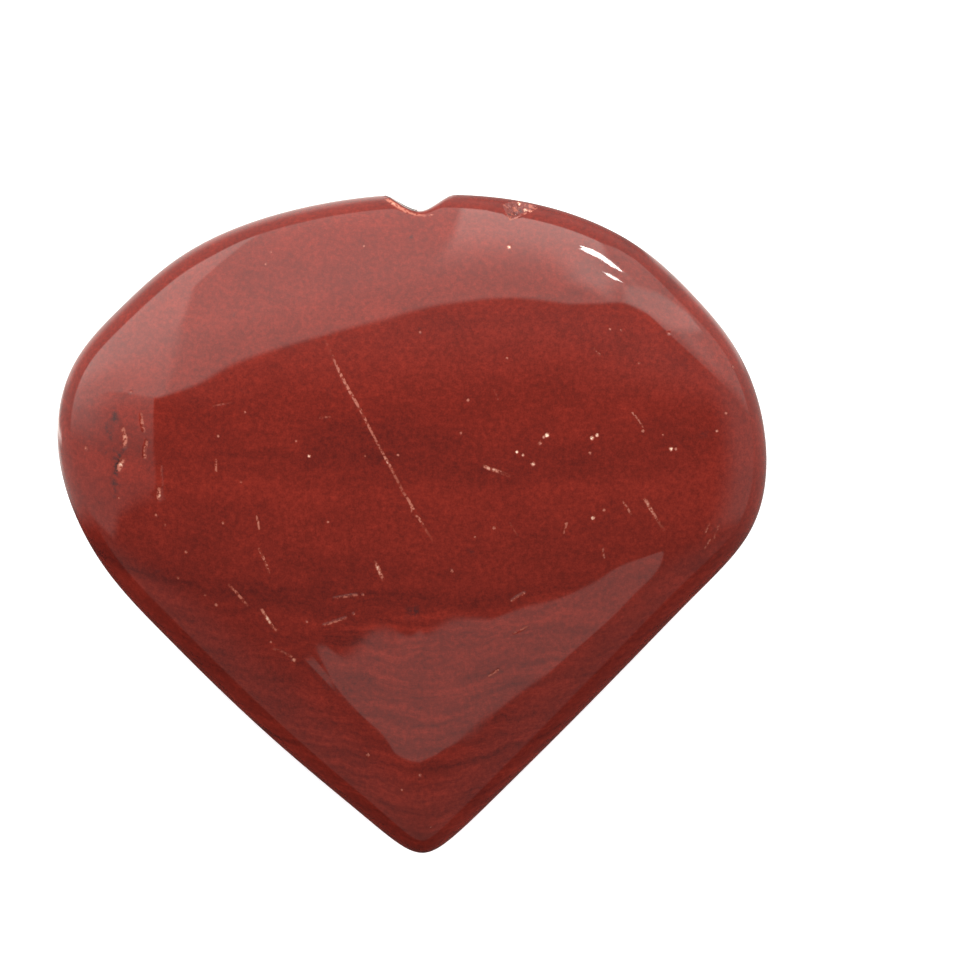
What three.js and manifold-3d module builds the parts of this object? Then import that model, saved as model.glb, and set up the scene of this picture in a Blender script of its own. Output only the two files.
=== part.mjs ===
// A palm stone of red jasper, cut and polished as a broad, puffed heart. It is one natural piece.
// Millimetres. X runs across the lobes, Y from the tip to the notch, Z up from the resting face.

import * as THREE from 'three';
import { ConvexGeometry } from 'three/addons/geometries/ConvexGeometry.js';
import { mergeVertices } from 'three/addons/utils/BufferGeometryUtils.js';
import Module from 'manifold-3d';

// Heights. The girdle is the widest line of the stone, between its front and its back dome.
const GIRDLE_HEIGHT = 4.7;
const FRONT_DOME = 5.1;

// Both domes fall as sqrt(1 - ROUNDNESS t^2 - (1 - ROUNDNESS) t^4), where t is the share of the
// way from the middle of the dome to the girdle. A roundness of 1 would be an ellipse.
const ROUNDNESS = 0.8;

// The back is ground flat in its middle, out to this share of the way to the girdle.
const FLAT_SHARE = 0.35;

// Near the middle the level lines of a dome are ovals in these proportions. Further out they
// take more and more of the outline's form.
const DOME_MIDDLE = new THREE.Vector2(0, 1);
const OVAL = new THREE.Vector2(16, 13);

// The notch between the lobes is filed straight through the edge, so its wall is upright. Its
// edges are rounded over NOTCH_ROUNDING. Its left side is steeper than its right side.
const NOTCH_X = 0.45;
const NOTCH_HALF_WIDTH = 1.8;
const NOTCH_DEPTH = 0.86;
const NOTCH_ROUNDING = 0.3;
const NOTCH_LEFT_POWER = 1.3;
const NOTCH_RIGHT_POWER = 1.6;

// The girdle without its notch: control points of a closed, even cubic B-spline, from the tip
// round the right lobe to the left one. Its box is 37.3 by 34.8 and is centred on the origin.
const OUTLINE = [
  [0.6, -17.7], [2.1, -16.7],
  [4.63, -14.2], [8.28, -10.57], [11.87, -6.87], [14.98, -3.6],
  [17.95, -0.75], [18.85, 2.5], [18.5, 6.2], [17.15, 9.5],
  [14.8, 12.2], [12.15, 14.75], [8.75, 16.4], [5.2, 17.25], [1.8, 17.45],
  [-1.8, 17.4], [-5.4, 16.85], [-9.0, 15.85], [-12.4, 14.2], [-15.3, 11.5], [-17.95, 8.8],
  [-18.87, 5.3], [-18.3, 1.5], [-16.3, -2.45],
  [-13.2, -5.65], [-9.8, -9.1], [-6.2, -12.4], [-2.8, -15.2],
  [-0.9, -16.85],
];

// Fineness of the facets.
const STEPS_PER_SPAN = 4;
const NOTCH_STEPS = 10;
const FRONT_RINGS = 14;
const BACK_RINGS = 10;

// A flake has broken off the shoulder of the right lobe. Its scar is cut by facets that meet at
// CHIP_BOTTOM, inside the stone, and CHIP_RIM are the places where its edges cross the surface.
const CHIP_BOTTOM = [5.45, 16.3, 5.75];
const CHIP_RIM = [
  [5.2, 16.1, 6.57], [4.8, 16.88, 5.75], [5.7, 17.04, 5.05], [6.65, 16.78, 5.25], [6.1, 16.55, 5.95],
];
const CHIP_OVERSHOOT = 1.8;

const JASPER = new THREE.MeshStandardMaterial({
  name: 'red_jasper',
  color: new THREE.Color(0.2, 0.022, 0.016),
  roughness: 0.12,
  metalness: 0,
});

function smoothstep(from, to, value) {
  return THREE.MathUtils.smoothstep(value, from, to);
}

// A point of an even cubic B-spline, at share s of the span between controls b and c.
function splinePoint([a, b, c, d], s) {
  const weights = [
    (1 - s) ** 3,
    3 * s ** 3 - 6 * s ** 2 + 4,
    -3 * s ** 3 + 3 * s ** 2 + 3 * s + 1,
    s ** 3,
  ];
  const point = new THREE.Vector2();
  [a, b, c, d].forEach(([x, y], k) => {
    point.x += (weights[k] * x) / 6;
    point.y += (weights[k] * y) / 6;
  });
  return point;
}

// The girdle as points, closer together where the notch comes.
function girdleOutline() {
  const count = OUTLINE.length;
  const points = [];
  for (let i = 0; i < count; i += 1) {
    const controls = [0, 1, 2, 3].map((k) => OUTLINE[(i + k) % count]);
    const [from, to] = [controls[1][0], controls[2][0]];
    const atTop = controls[1][1] > 0;
    const crossesNotch = atTop && to < NOTCH_X + NOTCH_HALF_WIDTH && from > NOTCH_X - NOTCH_HALF_WIDTH;
    const steps = crossesNotch ? NOTCH_STEPS : STEPS_PER_SPAN;
    for (let k = 0; k < steps; k += 1) {
      points.push(splinePoint(controls, k / steps));
    }
  }
  return points;
}

// How far the notch pushes the edge inward, at a point of the outline.
function notchAt(rimPoint) {
  const across = (rimPoint.x - NOTCH_X) / NOTCH_HALF_WIDTH;
  if (rimPoint.y < 0 || Math.abs(across) >= 1) {
    return 0;
  }
  const power = across < 0 ? NOTCH_LEFT_POWER : NOTCH_RIGHT_POWER;
  return NOTCH_DEPTH * Math.cos((across * Math.PI) / 2) ** power;
}

// The smaller of two lengths, with a rounded passage from one to the other.
function roundedMin(a, b, rounding) {
  const share = THREE.MathUtils.clamp(0.5 + (b - a) / (2 * rounding), 0, 1);
  return THREE.MathUtils.lerp(b, a, share) - rounding * share * (1 - share);
}

// The place, seen from above, at share t of the way from the middle to a point of the girdle.
function spread(rimPoint, t) {
  const arm = rimPoint.clone().sub(DOME_MIDDLE);
  const reach = arm.length();
  const direction = arm.normalize();
  const oval = (OVAL.x * OVAL.y) / Math.hypot(OVAL.y * direction.x, OVAL.x * direction.y);
  const radius = t * THREE.MathUtils.lerp(oval, reach, smoothstep(0, 1, t));
  const notch = notchAt(rimPoint);
  const wall = reach - notch;
  const rounding = Math.min(NOTCH_ROUNDING, notch);
  const filed = notch > 0 ? roundedMin(radius, wall, rounding) : radius;
  return direction.multiplyScalar(filed).add(DOME_MIDDLE);
}

// The height of a dome at share t, as a share of its height in the middle.
function domeShare(t) {
  return Math.sqrt(Math.max(0, 1 - ROUNDNESS * t ** 2 - (1 - ROUNDNESS) * t ** 4));
}

// Shares from the middle to the girdle, closer together towards the girdle's tight bend.
function shares(rings, from) {
  const start = Math.asin(from);
  const list = [];
  for (let i = 1; i <= rings; i += 1) {
    list.push(Math.sin(THREE.MathUtils.lerp(start, Math.PI / 2, i / rings)));
  }
  return list;
}

// One level line of the stone, all round.
function ringOf(outline, t, height) {
  return outline.map((rimPoint) => {
    const place = spread(rimPoint, t);
    return new THREE.Vector3(place.x, place.y, height);
  });
}

// The rings from the front's middle, over the girdle, to the edge of the flat on the back.
function ringsOf(outline) {
  const backDome = GIRDLE_HEIGHT / domeShare(FLAT_SHARE);
  const front = shares(FRONT_RINGS, 0).map((t) =>
    ringOf(outline, t, GIRDLE_HEIGHT + FRONT_DOME * domeShare(t)));
  const back = shares(BACK_RINGS, FLAT_SHARE).slice(0, -1).reverse().map((t) =>
    ringOf(outline, t, GIRDLE_HEIGHT - backDome * domeShare(t)));
  const flatEdge = ringOf(outline, FLAT_SHARE, 0);
  return [...front, ...back, flatEdge];
}

// The closed surface through the rings, with a fan over each end.
function wholeStone() {
  const outline = girdleOutline();
  const rings = ringsOf(outline);
  const count = outline.length;
  const crown = new THREE.Vector3(DOME_MIDDLE.x, DOME_MIDDLE.y, GIRDLE_HEIGHT + FRONT_DOME);
  const base = new THREE.Vector3(DOME_MIDDLE.x, DOME_MIDDLE.y, 0);
  const points = [crown, ...rings.flat(), base];
  const baseIndex = points.length - 1;
  const at = (ring, i) => 1 + ring * count + (i % count);
  const faces = [];
  for (let i = 0; i < count; i += 1) {
    faces.push(0, at(0, i), at(0, i + 1));
    for (let ring = 0; ring < rings.length - 1; ring += 1) {
      faces.push(at(ring, i), at(ring + 1, i), at(ring, i + 1));
      faces.push(at(ring, i + 1), at(ring + 1, i), at(ring + 1, i + 1));
    }
    faces.push(baseIndex, at(rings.length - 1, i + 1), at(rings.length - 1, i));
  }
  const geometry = new THREE.BufferGeometry().setFromPoints(points);
  geometry.setIndex(faces);
  return geometry;
}

// The solid that the chip takes away: a blunt cone of facets, open side out of the stone.
function chipCutter() {
  const bottom = new THREE.Vector3(...CHIP_BOTTOM);
  const outer = CHIP_RIM.map((corner) =>
    bottom.clone().lerp(new THREE.Vector3(...corner), CHIP_OVERSHOOT));
  return new ConvexGeometry([bottom, ...outer]);
}

const wasm = await Module();
wasm.setup();

function toSolid(geometry) {
  const bare = geometry.clone();
  bare.deleteAttribute('normal');
  bare.deleteAttribute('uv');
  const merged = mergeVertices(bare, 1e-4);
  return new wasm.Manifold(new wasm.Mesh({
    numProp: 3,
    vertProperties: new Float32Array(merged.attributes.position.array),
    triVerts: new Uint32Array(merged.index.array),
  }));
}

function toGeometry(solid) {
  const mesh = solid.getMesh();
  const geometry = new THREE.BufferGeometry();
  geometry.setAttribute('position', new THREE.BufferAttribute(mesh.vertProperties, 3));
  geometry.setIndex(new THREE.BufferAttribute(mesh.triVerts, 1));
  geometry.computeVertexNormals();
  return geometry;
}

const heart = new THREE.Mesh(
  toGeometry(toSolid(wholeStone()).subtract(toSolid(chipCutter()))),
  JASPER,
);
heart.name = 'heart';

const stone = new THREE.Group();
stone.add(heart);

export default stone;
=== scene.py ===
# A palm stone of red jasper in the form of a broad, puffed heart, lying on a pale floor.
# X runs across the lobes, Y from the tip to the notch, Z up from the resting face.
# Shapes are worked out in millimetres and turned to metres when a mesh is made.

import math

import bpy
import numpy as np
from mathutils import Matrix, Vector
from mathutils.bvhtree import BVHTree


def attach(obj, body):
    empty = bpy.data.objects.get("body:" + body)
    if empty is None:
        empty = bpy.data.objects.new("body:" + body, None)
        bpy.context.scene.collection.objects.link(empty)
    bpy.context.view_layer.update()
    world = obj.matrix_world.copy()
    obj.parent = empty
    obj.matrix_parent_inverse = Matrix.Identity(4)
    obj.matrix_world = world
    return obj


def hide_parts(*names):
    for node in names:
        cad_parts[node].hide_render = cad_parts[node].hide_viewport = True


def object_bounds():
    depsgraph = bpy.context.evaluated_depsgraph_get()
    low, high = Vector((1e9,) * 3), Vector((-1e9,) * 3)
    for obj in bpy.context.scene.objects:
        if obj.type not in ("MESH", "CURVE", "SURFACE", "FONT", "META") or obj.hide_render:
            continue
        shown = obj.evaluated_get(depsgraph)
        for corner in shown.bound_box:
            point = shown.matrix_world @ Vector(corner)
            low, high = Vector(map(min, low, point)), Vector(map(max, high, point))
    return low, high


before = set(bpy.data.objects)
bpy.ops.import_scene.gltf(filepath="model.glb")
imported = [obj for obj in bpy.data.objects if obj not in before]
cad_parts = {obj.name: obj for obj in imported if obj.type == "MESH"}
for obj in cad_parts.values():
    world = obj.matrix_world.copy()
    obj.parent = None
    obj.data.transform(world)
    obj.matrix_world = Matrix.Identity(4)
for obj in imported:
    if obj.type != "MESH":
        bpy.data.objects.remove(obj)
cad_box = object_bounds()

MM = 0.001

# The stone's form, as in the part: two domes over one outline, meeting at the girdle.
GIRDLE_HEIGHT = 4.7
ROUNDNESS = 0.8
FLAT_SHARE = 0.35
DOME_MIDDLE = np.array([0.0, 1.0])
OVAL = np.array([16.0, 13.0])
NOTCH_X = 0.45
NOTCH_HALF_WIDTH = 1.8
NOTCH_DEPTH = 0.86
NOTCH_ROUNDING = 0.3
NOTCH_LEFT_POWER = 1.3
NOTCH_RIGHT_POWER = 1.6
OUTLINE = np.array([
    [0.6, -17.7], [2.1, -16.7],
    [4.63, -14.2], [8.28, -10.57], [11.87, -6.87], [14.98, -3.6],
    [17.95, -0.75], [18.85, 2.5], [18.5, 6.2], [17.15, 9.5],
    [14.8, 12.2], [12.15, 14.75], [8.75, 16.4], [5.2, 17.25], [1.8, 17.45],
    [-1.8, 17.4], [-5.4, 16.85], [-9.0, 15.85], [-12.4, 14.2], [-15.3, 11.5], [-17.95, 8.8],
    [-18.87, 5.3], [-18.3, 1.5], [-16.3, -2.45],
    [-13.2, -5.65], [-9.8, -9.1], [-6.2, -12.4], [-2.8, -15.2],
    [-0.9, -16.85],
])

# The chip on the right lobe: facets that meet at its bottom and cross the surface at its rim.
# The scar is slightly rippled. Its pale edge starts at the depth SCAR_EDGE_FROM and fades over
# SCAR_EDGE_FADE, and from BROKEN_FROM on the stone looks broken. GRAZING is the least slant at
# which a facet counts as meeting the normal.
CHIP_BOTTOM = np.array([5.45, 16.3, 5.75])
CHIP_RIM = np.array([
    [5.2, 16.1, 6.57], [4.8, 16.88, 5.75], [5.7, 17.04, 5.05], [6.65, 16.78, 5.25], [6.1, 16.55, 5.95],
])
CHIP_REACH = 1.6
SCAR_RIPPLES = np.array([[9.0, 14.0, -6.0], [-17.0, 7.0, 9.0], [12.0, -9.0, 21.0]])
SCAR_RIPPLE_HEIGHT = 0.014
SCAR_RIPPLE_START = 0.15
SCAR_EDGE_FROM = 0.001
SCAR_EDGE_FADE = (0.01, 0.05)
SCAR_EDGE_PALENESS = 0.15
BROKEN_FROM = 0.002
GRAZING = 0.05
SHARP_ANGLE = math.radians(28)

# Fineness of the mesh: points along each span of the outline, and level lines on each dome.
STEPS_PER_SPAN = 16
FRONT_RINGS = 62
BACK_RINGS = 24
FLAT_RINGS = 3

# Closer mesh at the marks: how often long edges are halved, and the lengths that are kept.
REFINEMENTS = 4
FINEST_EDGE = 0.03
EDGE_TO_WIDTH = 0.72
SCAR_EDGE = 0.04

# Slight waves that the hand polishing left: length of a wave and its height. They start at the
# flat and have their full height from WAVE_FULL_HEIGHT up.
WAVES = [(11.0, 0.0005), (4.5, 0.00015), (2.4, 0.00006)]
WAVES_EACH = 5
WAVE_SEED = 11
WAVE_FULL_HEIGHT = 1.5

# The camera of the photograph, which looks down on the stone from slightly beyond the notch.
PHOTO_SIDE = 980
PIXELS_PER_MM = 18.7
VIEW_TARGET = Vector((4.116, 1.475, 0.0))
VIEW_RANGE = 300.0
VIEW_TILT = math.radians(4.6)
SENSOR = 36.0
CLIP_METRES = (0.01, 10.0)


def node(tree, kind, inputs=None, **settings):
    """A node of a shader tree. Inputs are sockets of other nodes, or plain values."""
    made = tree.nodes.new(kind)
    for name, value in settings.items():
        setattr(made, name, value)
    for name, value in (inputs or {}).items():
        if isinstance(value, bpy.types.NodeSocket):
            tree.links.new(value, made.inputs[name])
        else:
            made.inputs[name].default_value = value
    return made


def calc(tree, operation, *values):
    """The result of one Math node."""
    return node(tree, "ShaderNodeMath", dict(enumerate(values)), operation=operation).outputs[0]


def view_axes():
    """The camera's right, up and backward directions."""
    back = Vector((0, math.sin(VIEW_TILT), math.cos(VIEW_TILT)))
    right = Vector((1, 0, 0))
    return right, back.cross(right), back


def photo_ray(pixel):
    """The camera's place and the direction in which it sees a pixel of the photograph."""
    right, up, back = view_axes()
    focal = PIXELS_PER_MM * VIEW_RANGE
    across = (pixel[0] - PHOTO_SIDE / 2) / focal
    down = (pixel[1] - PHOTO_SIDE / 2) / focal
    return VIEW_TARGET + VIEW_RANGE * back, (right * across - up * down - back).normalized()


def make_camera():
    """The camera, where the photograph was taken from."""
    right, up, back = view_axes()
    data = bpy.data.cameras.new("camera")
    data.sensor_width = SENSOR
    data.lens = SENSOR * PIXELS_PER_MM * VIEW_RANGE / PHOTO_SIDE
    data.clip_start, data.clip_end = CLIP_METRES
    camera = bpy.data.objects.new("camera", data)
    camera.location = (VIEW_TARGET + VIEW_RANGE * back) * MM
    camera.rotation_mode = "QUATERNION"
    camera.rotation_quaternion = Matrix((right, up, back)).transposed().to_quaternion()
    bpy.context.scene.collection.objects.link(camera)
    bpy.context.scene.camera = camera


def smoothstep(start, end, value):
    """0 at the start, 1 at the end and an even passage between them."""
    share = np.clip((value - start) / (end - start), 0, 1)
    return share * share * (3 - 2 * share)


def girdle_outline():
    """The girdle without its notch, as points of a closed, even cubic B-spline."""
    share = np.arange(STEPS_PER_SPAN) / STEPS_PER_SPAN
    weights = np.stack([
        (1 - share) ** 3,
        3 * share**3 - 6 * share**2 + 4,
        -3 * share**3 + 3 * share**2 + 3 * share + 1,
        share**3,
    ]) / 6
    controls = np.stack([np.roll(OUTLINE, -k, axis=0) for k in range(4)])
    return np.einsum("ks,kic->isc", weights, controls).reshape(-1, 2)


def dome_share(share):
    """The height of a dome, as a share of its height in the middle."""
    return np.sqrt(np.clip(1 - ROUNDNESS * share**2 - (1 - ROUNDNESS) * share**4, 0, None))


def rounded_min(first, second, rounding):
    """The smaller of two lengths, with a rounded passage from one to the other."""
    rounding = np.maximum(rounding, 1e-6)
    share = np.clip(0.5 + (second - first) / (2 * rounding), 0, 1)
    return second + (first - second) * share - rounding * share * (1 - share)


def on_stone(spots):
    """Places on the stone. A spot is a point of the outline (x, y) and a way w over the stone:
    0 is the crown, 1 the girdle and 2 the middle of the back."""
    rim, way = spots[:, :2], spots[:, 2]
    share = np.sin(way * math.pi / 2)
    arm = rim - DOME_MIDDLE
    reach = np.maximum(np.linalg.norm(arm, axis=1), 1e-9)
    direction = arm / reach[:, None]
    oval = OVAL.prod() / np.maximum(np.hypot(OVAL[1] * direction[:, 0], OVAL[0] * direction[:, 1]), 1e-9)
    radius = share * (oval + (reach - oval) * smoothstep(0, 1, share))
    across = np.clip((rim[:, 0] - NOTCH_X) / NOTCH_HALF_WIDTH, -1, 1)
    power = np.where(across < 0, NOTCH_LEFT_POWER, NOTCH_RIGHT_POWER)
    notch = np.where(rim[:, 1] > 0, NOTCH_DEPTH * np.cos(across * math.pi / 2) ** power, 0)
    filed = rounded_min(radius, reach - notch, np.minimum(NOTCH_ROUNDING, notch))
    radius = np.where(notch > 1e-6, filed, radius)
    front_dome = cad_box[1].z / MM - GIRDLE_HEIGHT
    back_dome = GIRDLE_HEIGHT / dome_share(FLAT_SHARE)
    height = GIRDLE_HEIGHT + np.where(way < 1, front_dome, -back_dome) * dome_share(share)
    plan = DOME_MIDDLE + direction * radius[:, None]
    return np.column_stack([plan, np.maximum(height, 0)])


def stone_grid():
    """Spots and triangles of the whole stone. The first two spots are its crown and its base."""
    outline = girdle_outline()
    flat_way = 2 - math.asin(FLAT_SHARE) * 2 / math.pi
    ways = np.concatenate([
        np.linspace(0, 1, FRONT_RINGS + 1)[1:],
        np.linspace(1, flat_way, BACK_RINGS + 1)[1:],
        np.linspace(flat_way, 2, FLAT_RINGS + 1)[1:-1],
    ])
    count = len(outline)
    rings = np.array([[x, y, way] for way in ways for x, y in outline])
    spots = np.concatenate([[[*DOME_MIDDLE, 0], [*DOME_MIDDLE, 2]], rings])
    this = np.arange(count)
    following = (this + 1) % count
    triangles = [np.column_stack([np.zeros(count, int), 2 + this, 2 + following])]
    for ring in range(len(ways) - 1):
        inner = 2 + ring * count
        outer = inner + count
        triangles.append(np.column_stack([inner + this, outer + this, inner + following]))
        triangles.append(np.column_stack([inner + following, outer + this, outer + following]))
    last = 2 + (len(ways) - 1) * count
    triangles.append(np.column_stack([np.ones(count, int), last + following, last + this]))
    return spots, np.concatenate(triangles)


def split_edges(spots, triangles, wanted):
    """Puts a new spot in the middle of every edge that wanted(edges) chooses."""
    count = len(spots)
    ends = np.sort(np.concatenate([triangles[:, [0, 1]], triangles[:, [1, 2]], triangles[:, [2, 0]]]), axis=1)
    keys, sides = np.unique(ends[:, 0] * count + ends[:, 1], return_inverse=True)
    edges = np.column_stack([keys // count, keys % count])
    chosen = wanted(edges)
    middle = np.full(len(edges), -1)
    middle[chosen] = count + np.arange(chosen.sum())
    spots = np.concatenate([spots, spots[edges[chosen]].mean(axis=1)])
    middles = middle[sides.reshape(3, -1).T]
    split = middles >= 0
    parts = split.sum(axis=1)
    # Each triangle is turned so that its split sides come first.
    turn = np.where(parts == 2, np.argmin(split, axis=1) + 1, np.argmax(split, axis=1))
    order = (turn[:, None] + np.arange(3)) % 3
    a, b, c = np.take_along_axis(triangles, order, axis=1).T
    ab, bc, ca = np.take_along_axis(middles, order, axis=1).T
    pieces = {
        0: [(a, b, c)],
        1: [(a, ab, c), (ab, b, c)],
        2: [(ab, b, bc), (a, ab, bc), (a, bc, c)],
        3: [(a, ab, ca), (ab, b, bc), (ca, bc, c), (ab, bc, ca)],
    }
    made = [np.column_stack(piece)[parts == number] for number, group in pieces.items() for piece in group]
    return spots, np.concatenate(made)


def outward_normals(places, triangles):
    """The direction out of the stone at each place, averaged over its triangles."""
    corners = places[triangles]
    facing = np.cross(corners[:, 1] - corners[:, 0], corners[:, 2] - corners[:, 0])
    normals = np.zeros_like(places)
    for corner in range(3):
        for axis in range(3):
            normals[:, axis] += np.bincount(triangles[:, corner], facing[:, axis], len(places))
    return normals / np.linalg.norm(normals, axis=1)[:, None]


def unevenness(places):
    """How high the waves stand at each place. The flat under the stone has none."""
    draw = np.random.RandomState(WAVE_SEED)
    height = np.zeros(len(places))
    for length, size in WAVES:
        for _ in range(WAVES_EACH):
            direction = draw.normal(size=3)
            direction *= 2 * math.pi / (length * np.linalg.norm(direction))
            height += size * np.sin(places @ direction + draw.uniform(0, 2 * math.pi))
    return height * smoothstep(0, WAVE_FULL_HEIGHT, places[:, 2])


# Scratches as the photograph shows them: width in pixels, and x, y and paleness at each bend.
# The three along the notch's left slope and bottom are painted highlight of its rim.
SCRATCHES_AND_NOTCH_HIGHLIGHT = [
    (4.5, [(325, 339, 0.1), (336, 364, 0.33), (341, 375, 0.52), (350, 392, 0.52), (360, 409, 0.4)]),
    (4.1, [(360, 409, 0.45), (370, 429, 0.4), (381, 450, 0.28), (385, 457, 0.5)]),
    (4.1, [(385, 457, 0.5), (387, 461, 0.8), (390, 466, 0.5)]),
    (4.7, [(390, 466, 0.3), (396, 478, 0.3), (403, 492, 0.25), (409, 501, 0.45), (412, 507, 0.7)]),
    (4.1, [(412, 507, 0.7), (416, 514, 0.45), (420, 520, 0.5), (427, 532, 0.2), (434, 543, 0.1)]),
    (5.0, [(484, 466, 0.45), (488, 468, 0.62), (494, 470, 0.66), (500, 472, 0.4), (509, 476, 0.15)]),
    (3.0, [(632, 412, 0.45), (637, 418, 0.4), (643, 427, 0.28)]),
    (5.0, [(645, 499, 0.45), (649, 506, 0.66), (653, 513, 0.55), (658, 521, 0.25), (664, 530, 0.14)]),
    (3.8, [(623, 502, 0.3), (627, 507, 0.35), (631, 514, 0.5)]),
    (5.0, [(375, 562, 0.2), (378, 568, 0.75), (380, 573, 0.6), (383, 579, 0.3)]),
    (3.8, [(259, 549, 0.35), (263, 557, 0.55), (266, 563, 0.5), (269, 573, 0.3)]),
    (3.5, [(257, 516, 0.45), (258, 522, 0.58), (259, 529, 0.4)]),
    (4.5, [(229, 585, 0.2), (236, 592, 0.45), (241, 598, 0.5), (248, 606, 0.2)]),
    (4.7, [(262, 610, 0.5), (267, 618, 0.75), (270, 623, 0.66), (276, 630, 0.35)]),
    (4.1, [(343, 597, 0.3), (348, 596, 0.45), (357, 595, 0.3)]),
    (3.5, [(334, 598, 0.25), (341, 597, 0.35)]),
    (3.8, [(324, 625, 0.25), (332, 623, 0.4), (346, 618, 0.3)]),
    (3.8, [(512, 601, 0.55), (517, 597, 0.62), (524, 593, 0.45)]),
    (3.5, [(514, 633, 0.25), (521, 630, 0.35), (528, 626, 0.2)]),
    (3.8, [(489, 676, 0.3), (498, 670, 0.4)]),
    (5.0, [(141, 414, 0.25), (142, 422, 0.45), (144, 431, 0.3)]),
    (7.0, [(123, 429, 0.35), (125, 437, 0.6), (125, 446, 0.45)]),
    (5.0, [(147, 441, 0.3), (145, 450, 0.45), (145, 457, 0.4)]),
    (8.0, [(122, 460, 0.45), (120.5, 464, 0.75), (119, 469, 0.45)]),
    (6.0, [(159, 489, 0.4), (159, 495, 0.7), (159, 498, 0.6)]),
    (3.3, [(161, 466, 0.2), (162, 485, 0.2)]),
    (3.8, [(216, 460, 0.35), (216, 471, 0.4)]),
    (2.9, [(213, 406, 0.15), (222, 404, 0.25), (231, 402, 0.15)]),
    (3.5, [(710, 523, 0.2), (706, 532, 0.35)]),
    (3.8, [(719, 525, 0.3), (716, 533, 0.35), (713, 542, 0.2)]),
    (3.8, [(710, 540, 0.35), (705, 548, 0.3)]),
    (3.5, [(603, 549, 0.3), (604, 558, 0.35)]),
    (2.9, [(510, 523, 0.15), (513, 529, 0.22), (518, 536, 0.12)]),
    (3.5, [(594, 348, 0.25), (600, 355, 0.35)]),
    (3.3, [(320, 418, 0.2), (325, 417, 0.3), (330, 417, 0.2)]),
    (4.5, [(274, 649, 0.2), (283, 652, 0.25), (292, 657, 0.3)]),
    (3.5, [(567, 523, 0.35), (564, 533, 0.3)]),
    (2.9, [(494, 390, 0.15), (498, 399, 0.2)]),
    # Painted highlight along the notch's left slope, and a painted glint at its bottom.
    (7.5, [(387, 199.3, 0.45), (393, 203, 0.65), (400, 207.5, 0.55), (407, 211.5, 0.5)]),
    (6.0, [(407, 211.5, 0.55), (415, 214.3, 0.42), (425, 215.5, 0.25)]),
    (3.0, [(428, 215.3, 0.2), (431, 215, 0.5), (433, 214.5, 0.2)]),
    (2.8, [(506, 209, 0.1), (506, 214, 0.2), (510, 219, 0.35)]),
    (2.8, [(510, 220, 0.35), (519, 217, 0.3), (526, 213, 0.45)]),
    (2.6, [(529, 213, 0.3), (537, 208, 0.4)]),
]

# Pits and pale grains: width in pixels, and x, y and paleness. The last ones lie in the chip and are
# painted glints of its facets: they are set on the stone before it is cut, so they show a little lower.
PITS_AND_CHIP_GLINTS = [
    (6.5, 547, 435, 1.0), (4.4, 544, 437, 0.7), (5.7, 592, 438, 1.0), (5.2, 597, 435, 0.85),
    (5.7, 540, 443, 0.5), (4.7, 517, 452, 0.9), (4.2, 523, 455, 0.75), (6.0, 533, 464, 0.75),
    (4.7, 590, 453, 0.5), (4.2, 643, 431, 0.66), (3.6, 663, 435, 0.4), (5.2, 671, 449, 1.0),
    (4.2, 676, 449, 0.66), (4.2, 717, 431, 0.6), (4.4, 726, 413, 0.5), (3.9, 733, 367, 0.45),
    (5.7, 593, 518, 0.85), (4.7, 604, 510, 0.5), (4.2, 566, 524, 0.5), (3.6, 475, 537, 0.35),
    (4.9, 494, 528, 0.5), (3.9, 328, 522, 0.45), (4.4, 309, 456, 0.8), (3.9, 296, 441, 0.35),
    (4.4, 468, 400, 0.5), (3.9, 398, 455, 0.5), (3.6, 365, 456, 0.35), (4.9, 461, 433, 0.35),
    (4.7, 452, 571, 0.45), (5.2, 216, 605, 0.5), (6.0, 294, 660, 0.62), (4.2, 271, 642, 0.4),
    (4.4, 186, 552, 0.45), (4.4, 223, 523, 0.45), (4.4, 218, 436, 0.45), (3.9, 245, 412, 0.35),
    (4.2, 241, 482, 0.3), (5.5, 509, 247, 0.9), (4.2, 266, 264, 0.4), (3.9, 271, 252, 0.35),
    (3.9, 364, 246, 0.35), (4.4, 420, 332, 0.3), (3.9, 507, 358, 0.4), (3.9, 610, 329, 0.4),
    (3.9, 621, 330, 0.35), (3.9, 639, 363, 0.35), (3.9, 669, 333, 0.4), (5.5, 368, 755, 0.5),
    (4.4, 420, 775, 0.4), (4.4, 402, 790, 0.4), (3.9, 431, 827, 0.35), (5.7, 86, 448, 0.4),
    (3.9, 119, 498, 0.35), (4.4, 156, 515, 0.45), (4.2, 165, 525, 0.3), (4.2, 178, 578, 0.4),
    (3.9, 205, 595, 0.35), (3.9, 363, 595, 0.4), (3.9, 354, 614, 0.3), (3.9, 307, 622, 0.35),
    (4.2, 131, 392, 0.3), (5.0, 519.3, 202.2, 1.0), (6.4, 526.3, 206.5, 1.0), (5.7, 530.3, 211, 0.75),
    (4.0, 533.5, 208.5, 0.5), (6.5, 513.2, 210.3, 0.5), (4.4, 510.5, 219.3, 0.4),
]
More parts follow.
